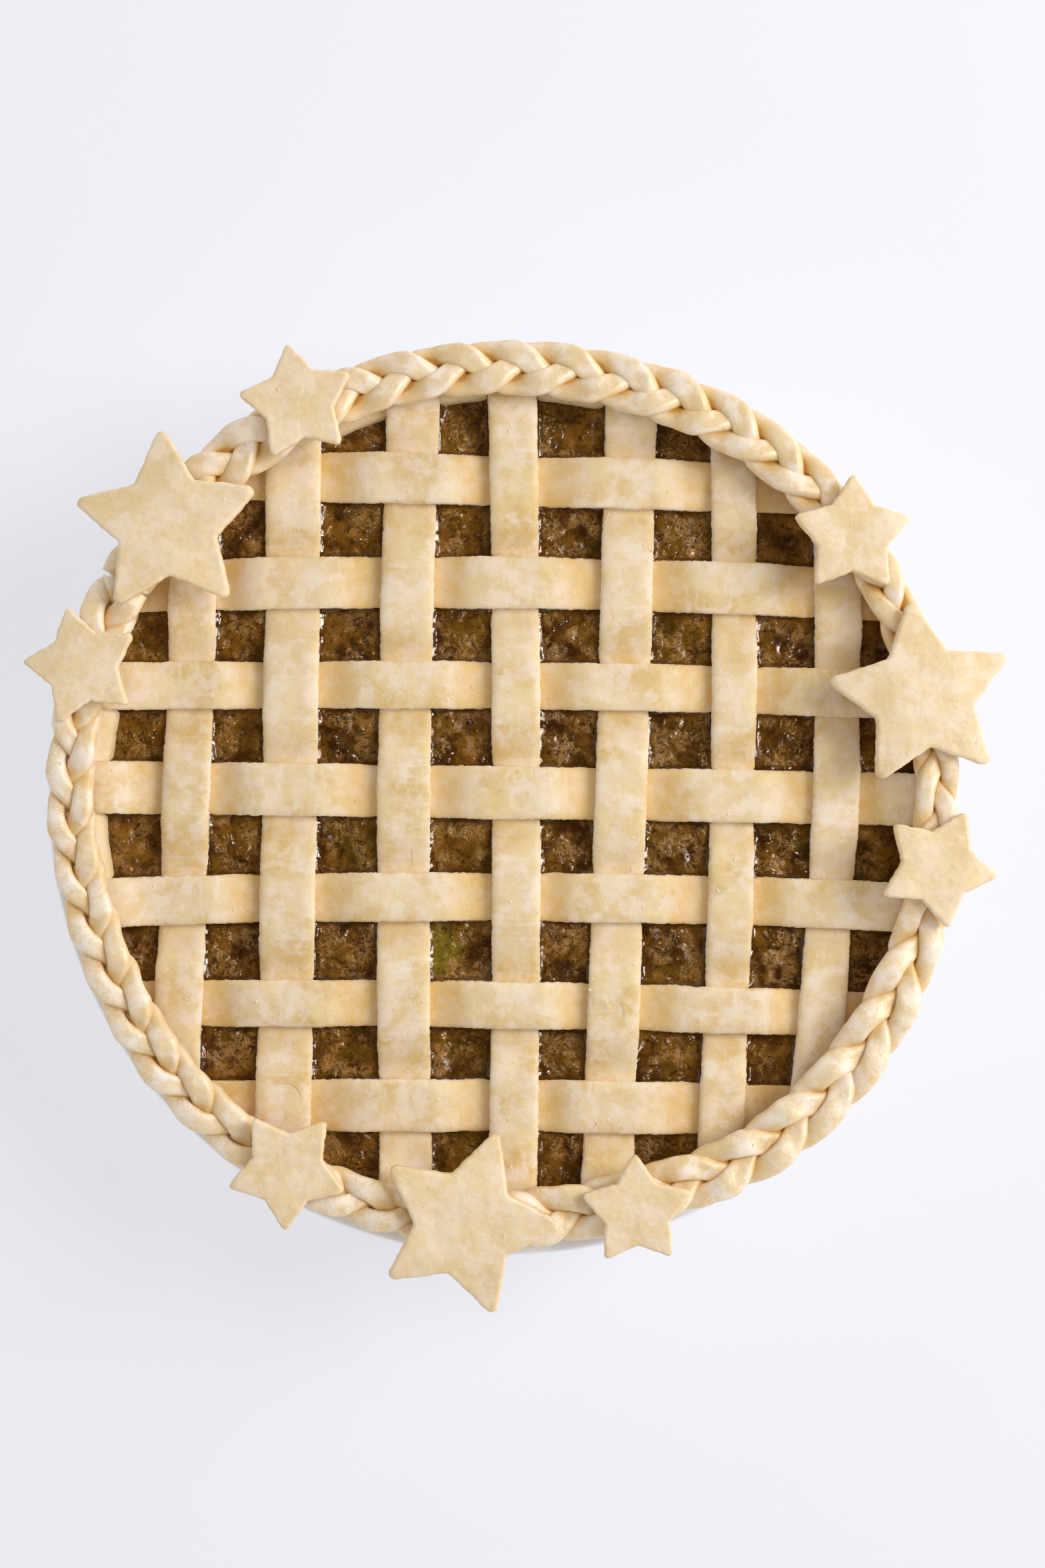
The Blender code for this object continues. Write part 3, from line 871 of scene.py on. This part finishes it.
def strand_tree():
    """One strand of a plait: it swings across the rim and dips twice in each swing.

    Low down, where strands meet, it keeps a painted crease shade, warm and darker, for its finish.
    """
    course = ("Start", "End", "Turn", "Tip", "Offset", "Radius", "Level", "Swing", "Lift", "Lag", "Skew")
    form = ("Half Width", "Half Height", "Roll", "Lean", "Dusty")
    tree = Growth("plaited_strand", course + form, Rows="Int")
    circle = tree.add("GeometryNodeCurvePrimitiveCircle", {}, {"Resolution": 32, "Radius": 1.0})
    strand = tree.sweep(tree["Rows"], circle)
    share = tree.read("row") / (tree["Rows"] - 1)
    angle = tree["Start"] + (tree["End"] - tree["Start"]) * share
    swing = tree.math("RADIANS", tree["Offset"] + (angle - tree["Tip"]) * tree["Turn"])
    twice = tree.math("COSINE", swing * 2)
    places = [(place / 360.0, 0.5 + stray / STRAY_RANGE) for place, stray in BRAID_STRAYS]
    round_once = tree.math("FLOORED_MODULO", angle / 360.0, 1.0)
    stray = tree.add("ShaderNodeFloatCurve", {"curve": places}, {"Value": round_once})
    ridge = tree["Radius"] + (stray - 0.5) * STRAY_RANGE * MM
    widths = [(place / 360.0, width / 2.0) for place, width in BRAID_WIDTHS]
    width = tree.add("ShaderNodeFloatCurve", {"curve": widths}, {"Value": round_once}) * 2.0
    across = tree.math("SINE", swing) + 0.07 * tree.math("SINE", swing * 3) + tree["Skew"] * twice
    middle = ridge + tree["Swing"] * width * across
    level = tree["Level"] - tree["Lift"] * tree.math("SINE", (swing - tree["Lag"]) * 2)
    roll = tree["Roll"] * tree.math("COSINE", swing) + tree["Lean"] * tree.math("COSINE", swing * 3)
    turn = tree.math("RADIANS", angle)
    sine, cosine = tree.math("SINE", turn), tree.math("COSINE", turn)
    spot = tree.xyz(middle * sine, middle * cosine, level)
    plump = 1 + (tree.noise(spot, 9 * MM, 1.0, tree["Offset"]) - 0.5) * 0.45
    x, y, _ = tree.parts(tree.read("section", "FLOAT_VECTOR"))
    # The section is a little squarer than a circle, and a little flatter where strands cross.
    squared = (x ** 4 + y ** 4) ** -0.14
    x, y = x * squared, y * squared
    out = x * (tree["Half Width"] * width + 0.5 * MM * twice) * plump
    up = y * (tree["Half Height"] - 0.1 * MM * twice) * plump
    leaning, upright = tree.math("SINE", roll), tree.math("COSINE", roll)
    radius = middle + out * upright + up * leaning
    height = level - out * leaning + up * upright
    place = tree.xyz(radius * sine, radius * cosine, height)
    strand = tree.move(strand, place=place)
    # Painted crease shade: warmer and darker low down and near the braid's middle, where strands meet
    inside = 1 - tree.step(tree.math("ABSOLUTE", radius - ridge), 2.5 * MM, 6.5 * MM)
    crease_shade_share = (1 - tree.step(height - tree["Level"], 0.7 * MM, 3.3 * MM)) * (0.25 + 1.2 * inside)
    strand = tree.store(strand, "soaked", crease_shade_share)
    return tree.end(tree.store(strand, "dusty", tree["Dusty"] * (0.8 + 0.3 * across)))


def make_braid(dough):
    tree = strand_tree()
    low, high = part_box("braid_top_1")
    level = (low.z + high.z) / 2
    seam = 0.4
    strands = []
    for place, (start, end, leaf, tip, heading, skew, dusty) in PLAITS.items():
        turn = 360.0 / STRANDS / leaf
        for strand in range(STRANDS):
            node = f"braid_{place}_{strand + 1}"
            sizes = {
                "Rows": round((end - start) * turn / 4.5),
                "Start": start + seam / 2,
                "End": end - seam / 2,
                "Turn": heading * turn,
                "Tip": tip,
                "Offset": 180.0 + 360.0 * strand / STRANDS,
                "Radius": BRAID_RADIUS,
                "Level": level,
                "Swing": 4.85 * MM,
                "Lift": 1.4 * MM,
                "Lag": 0.2 * heading,
                "Half Width": 3.9 * MM,
                "Half Height": 2.5 * MM,
                "Roll": 0.2,
                "Lean": 0.25,
                "Skew": skew,
                "Dusty": dusty,
                "Material": dough,
            }
            piece = grow(f"{node}_rolled", tree, sizes)
            hand_in(piece, "braid_dough", node)
            strands.append(piece)
    return strands


# Stars


def star_layout(node):
    """Middle, tip radius and direction of one tip, from a star's solid."""
    corners = np.unique([vert.co[:2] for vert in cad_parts[node].data.vertices], axis=0)
    middle = corners.mean(axis=0)
    arms = corners - middle
    reach = np.hypot(arms[:, 0], arms[:, 1])
    tip = arms[np.argmax(reach)]
    return middle, float(reach.max()), math.atan2(tip[1], tip[0])


def star_tree():
    """A star cut from rolled dough, lying on the braid and drooping past it."""
    form = ("Tip Radius", "Notch", "Direction", "Thickness", "Rounding", "Seed")
    rest = ("Level", "Rest Radius", "Rest Width", "Droop")
    tree = Growth("cut_star", form + rest, Middle="Vector")
    inputs = {
        "Points": 5,
        "Inner Radius": tree["Tip Radius"] * tree["Notch"],
        "Outer Radius": tree["Tip Radius"],
    }
    outline = tree.add("GeometryNodeCurveStar", {}, inputs)
    inputs = {"Curve": outline, "Count": 10, "Radius": tree["Tip Radius"] * 0.065, "Limit Radius": True}
    outline = tree.add("GeometryNodeFilletCurve", {"mode": "POLY"}, inputs)
    inputs = {
        "Vertices": STAR_POINTS_AROUND,
        "Side Segments": 5,
        "Fill Segments": STAR_RINGS,
        "Radius": 1.0,
        "Depth": 2.0,
    }
    star = tree.add("GeometryNodeMeshCylinder", {"fill_type": "TRIANGLE_FAN"}, inputs)
    x, y, z = tree.parts(tree.position())
    turn = tree.math("FLOORED_MODULO", tree.math("ARCTAN2", y, x) / math.tau, 1.0)
    settings = {"mode": "FACTOR", "data_type": "FLOAT_VECTOR"}
    inputs = {"Curves": outline, "Factor": turn}
    edge = tree.add("GeometryNodeSampleCurve", settings, inputs, "Position")
    share = tree.math("SQRT", x * x + y * y)
    flat = tree.scaled(edge, share)
    inputs = {"Vector": flat, "Axis": (0.0, 0.0, 1.0), "Angle": tree["Direction"]}
    flat = tree.add("ShaderNodeVectorRotate", {}, inputs)
    flat = tree.vector("ADD", flat, tree["Middle"])
    from_edge = (1 - share) * tree["Tip Radius"] * 0.55
    dip = 1 - tree.math("MINIMUM", from_edge / tree["Rounding"], 1.0)
    inset = (1 - tree.math("SQRT", 1 - dip * dip * 0.96)) * tree["Rounding"] * 1.1
    reach = tree.math("ABSOLUTE", tree.length(flat) - tree["Rest Radius"]) - tree["Rest Width"]
    past = tree.math("SMOOTH_MAX", reach, 0.0, 4 * MM)
    waves = (tree.noise(flat, 12 * MM, 1.0, tree["Seed"]) - 0.5) * 1.1 * MM
    level = tree["Level"] - past * tree["Droop"] + waves
    height = level + (z * 0.5 + 0.5) * tree["Thickness"] - inset * z
    nibble = tree.vector("MULTIPLY", tree.colored_noise(flat, 2.2 * MM), (0.9 * MM, 0.9 * MM, 0.3 * MM))
    place = tree.vector("ADD", flat, tree.xyz(0.0, 0.0, height))
    star = tree.move(star, place=tree.vector("ADD", place, nibble))
    return tree.end(tree.store(star, "dusty", tree.step(share, 0.90, 1.0) * 0.8))


def make_stars(dough):
    tree = star_tree()
    stars = []
    for number in range(1, STARS + 1):
        node = f"star_{number}"
        middle, tip_radius, direction = star_layout(node)
        large = tip_radius > LARGE_STAR
        aside, along, spread = STAR_FITS[number - 1]
        x, y = middle * STAR_PULL
        sizes = {
            "Middle": (x + aside * MM, y + along * MM, 0.0),
            "Tip Radius": tip_radius * spread,
            "Notch": 0.51 if large else 0.58,
            "Direction": direction,
            "Thickness": STAR_THICKNESS,
            "Rounding": 0.7 * MM,
            "Level": STAR_LEVEL,
            "Rest Radius": BRAID_RADIUS,
            "Rest Width": 9.0 * MM,
            "Droop": 0.17,
            "Seed": float(number),
            "Material": dough,
        }
        piece = grow(f"{node}_cut", tree, sizes)
        hand_in(piece, "star_dough", node)
        stars.append(piece)
    return stars


# Crumbs


def crumb_tree():
    """Crumbs of dough that lie in drifts on whatever faces up."""
    tree = Growth("loose_crumbs", ("Density", "Crumb", "Drift"), Dough="Collection", Seed="Int")
    dough = tree.add("GeometryNodeCollectionInfo", {"transform_space": "ORIGINAL"}, (tree["Dough"],))
    dough = tree.add("GeometryNodeRealizeInstances", {}, (dough,))
    facing = tree.parts(tree.add("GeometryNodeInputNormal"))[2]
    upwards = tree.math("GREATER_THAN", facing, 0.7)
    drift = tree.step(tree.noise(tree.position(), tree["Drift"], 2.0), 0.52, 0.66) + 0.08
    inputs = {
        "Mesh": dough,
        "Selection": upwards,
        "Density": tree["Density"] * drift,
        "Seed": tree["Seed"],
    }
    points = tree.add("GeometryNodeDistributePointsOnFaces", {"distribute_method": "RANDOM"}, inputs)
    crumb = tree.add("GeometryNodeMeshIcoSphere", {}, {"Radius": 1.0, "Subdivisions": 2})
    knobs = tree.colored_noise(tree.position(), 1 / 1.3)
    crumb = tree.smooth(tree.move(crumb, offset=knobs))
    turn = tree.random((0.0, 0.0, 0.0), (0.4, 0.4, math.tau), 3)
    turn = tree.add("FunctionNodeEulerToRotation", {}, (turn,))
    scale = tree.scaled(tree.random((0.25, 0.2, 0.15), (1.0, 0.7, 0.45), 4), tree["Crumb"])
    inputs = {"Points": points, "Instance": crumb, "Rotation": turn, "Scale": scale}
    return tree.end(tree.add("GeometryNodeInstanceOnPoints", {}, inputs))


def gather(name, pieces):
    """A collection from which a tree can read these pieces."""
    group = bpy.data.collections.new(name)
    for piece in pieces:
        group.objects.link(piece)
    return group


def make_crumbs(finish, dough):
    sizes = {
        "Dough": dough,
        "Density": 26000.0,
        "Crumb": 0.6 * MM,
        "Drift": 22 * MM,
        "Seed": 11,
        "Material": finish,
    }
    hand_in(grow("loose_crumbs", crumb_tree(), sizes), "braid_dough")


# Studio


def make_table(finish):
    shape = bmesh.new()
    bmesh.ops.create_grid(shape, x_segments=1, y_segments=1, size=4.0)
    mesh = bpy.data.meshes.new("table")
    shape.to_mesh(mesh)
    shape.free()
    mesh.materials.append(finish)
    table = bpy.data.objects.new("table", mesh)
    bpy.context.scene.collection.objects.link(table)


def soft_light(name, azimuth, elevation, distance, size, power, color, glossy=True, diffuse=True):
    """A square light that looks at the pie. Azimuth 0 is +X and 90 is +Y."""
    lamp = bpy.data.lights.new(name, "AREA")
    lamp.shape = "SQUARE"
    lamp.size = size
    lamp.energy = power
    lamp.color = color
    light = bpy.data.objects.new(name, lamp)
    bpy.context.scene.collection.objects.link(light)
    a, e = math.radians(azimuth), math.radians(elevation)
    light.location = (
        distance * math.cos(e) * math.cos(a),
        distance * math.cos(e) * math.sin(a),
        distance * math.sin(e) + RIM_LEVEL,
    )
    light.rotation_euler = (math.radians(90) - e, 0.0, a + math.radians(90))
    light.visible_camera = False
    light.visible_glossy = glossy
    light.visible_diffuse = diffuse


def make_room():
    """Even light from low down on every side, and none overhead, so that flat syrup stays dark."""
    world = bpy.data.worlds.new("room")
    bpy.context.scene.world = world
    world.use_nodes = True
    room = Tree(world.node_tree)
    direction = room.add("ShaderNodeTexCoord", output="Generated")
    height = room.parts(direction)[2]
    strength = (1 - room.step(height, 0.22, 0.55)) * 1.5 + 0.02
    background = world.node_tree.nodes["Background"]
    background.inputs["Color"].default_value = (1.0, 1.0, 1.0, 1.0)
    room.give(background.inputs["Strength"], strength)


def make_camera():
    data = bpy.data.cameras.new("camera")
    data.sensor_width = SENSOR
    data.lens = SENSOR * (CAMERA_HEIGHT - RIM_LEVEL) / SEEN_LENGTH
    camera = bpy.data.objects.new("camera", data)
    bpy.context.scene.collection.objects.link(camera)
    camera.location = (*CAMERA_AIM, CAMERA_HEIGHT)
    bpy.context.scene.camera = camera


make_dish(glaze_finish())
make_case(dough_finish("case_dough", 0.3, 0.8))
strips = make_lattice(dough_finish("strip_dough", 0.55, 0.8, rolled=True))
lattice = gather("lattice", strips)
make_filling(apple_finish(), lattice)
braid = make_braid(dough_finish("braid_dough", 0.8, 0.4, gloss=0.16))
stars = make_stars(dough_finish("star_dough", 0.4, 0.34))
everything = gather("dough", strips + braid + stars)
make_crumbs(dough_finish("crumb_dough", 0.8, 0.3), everything)
bpy.data.collections.remove(lattice)
bpy.data.collections.remove(everything)
make_table(table_finish())
make_room()
soft_light("window", 18, 38, 1.3, 0.7, 12.5, WHITE_LIGHT, glossy=False)
soft_light("window_gleam", 6, 40, 1.3, 0.42, 30.0, WARM_LIGHT, diffuse=False)
soft_light("overhead", 0, 90, 1.6, 2.4, 16.0, WHITE_LIGHT, glossy=False)
make_camera()
bpy.context.scene.view_settings.view_transform = "Standard"
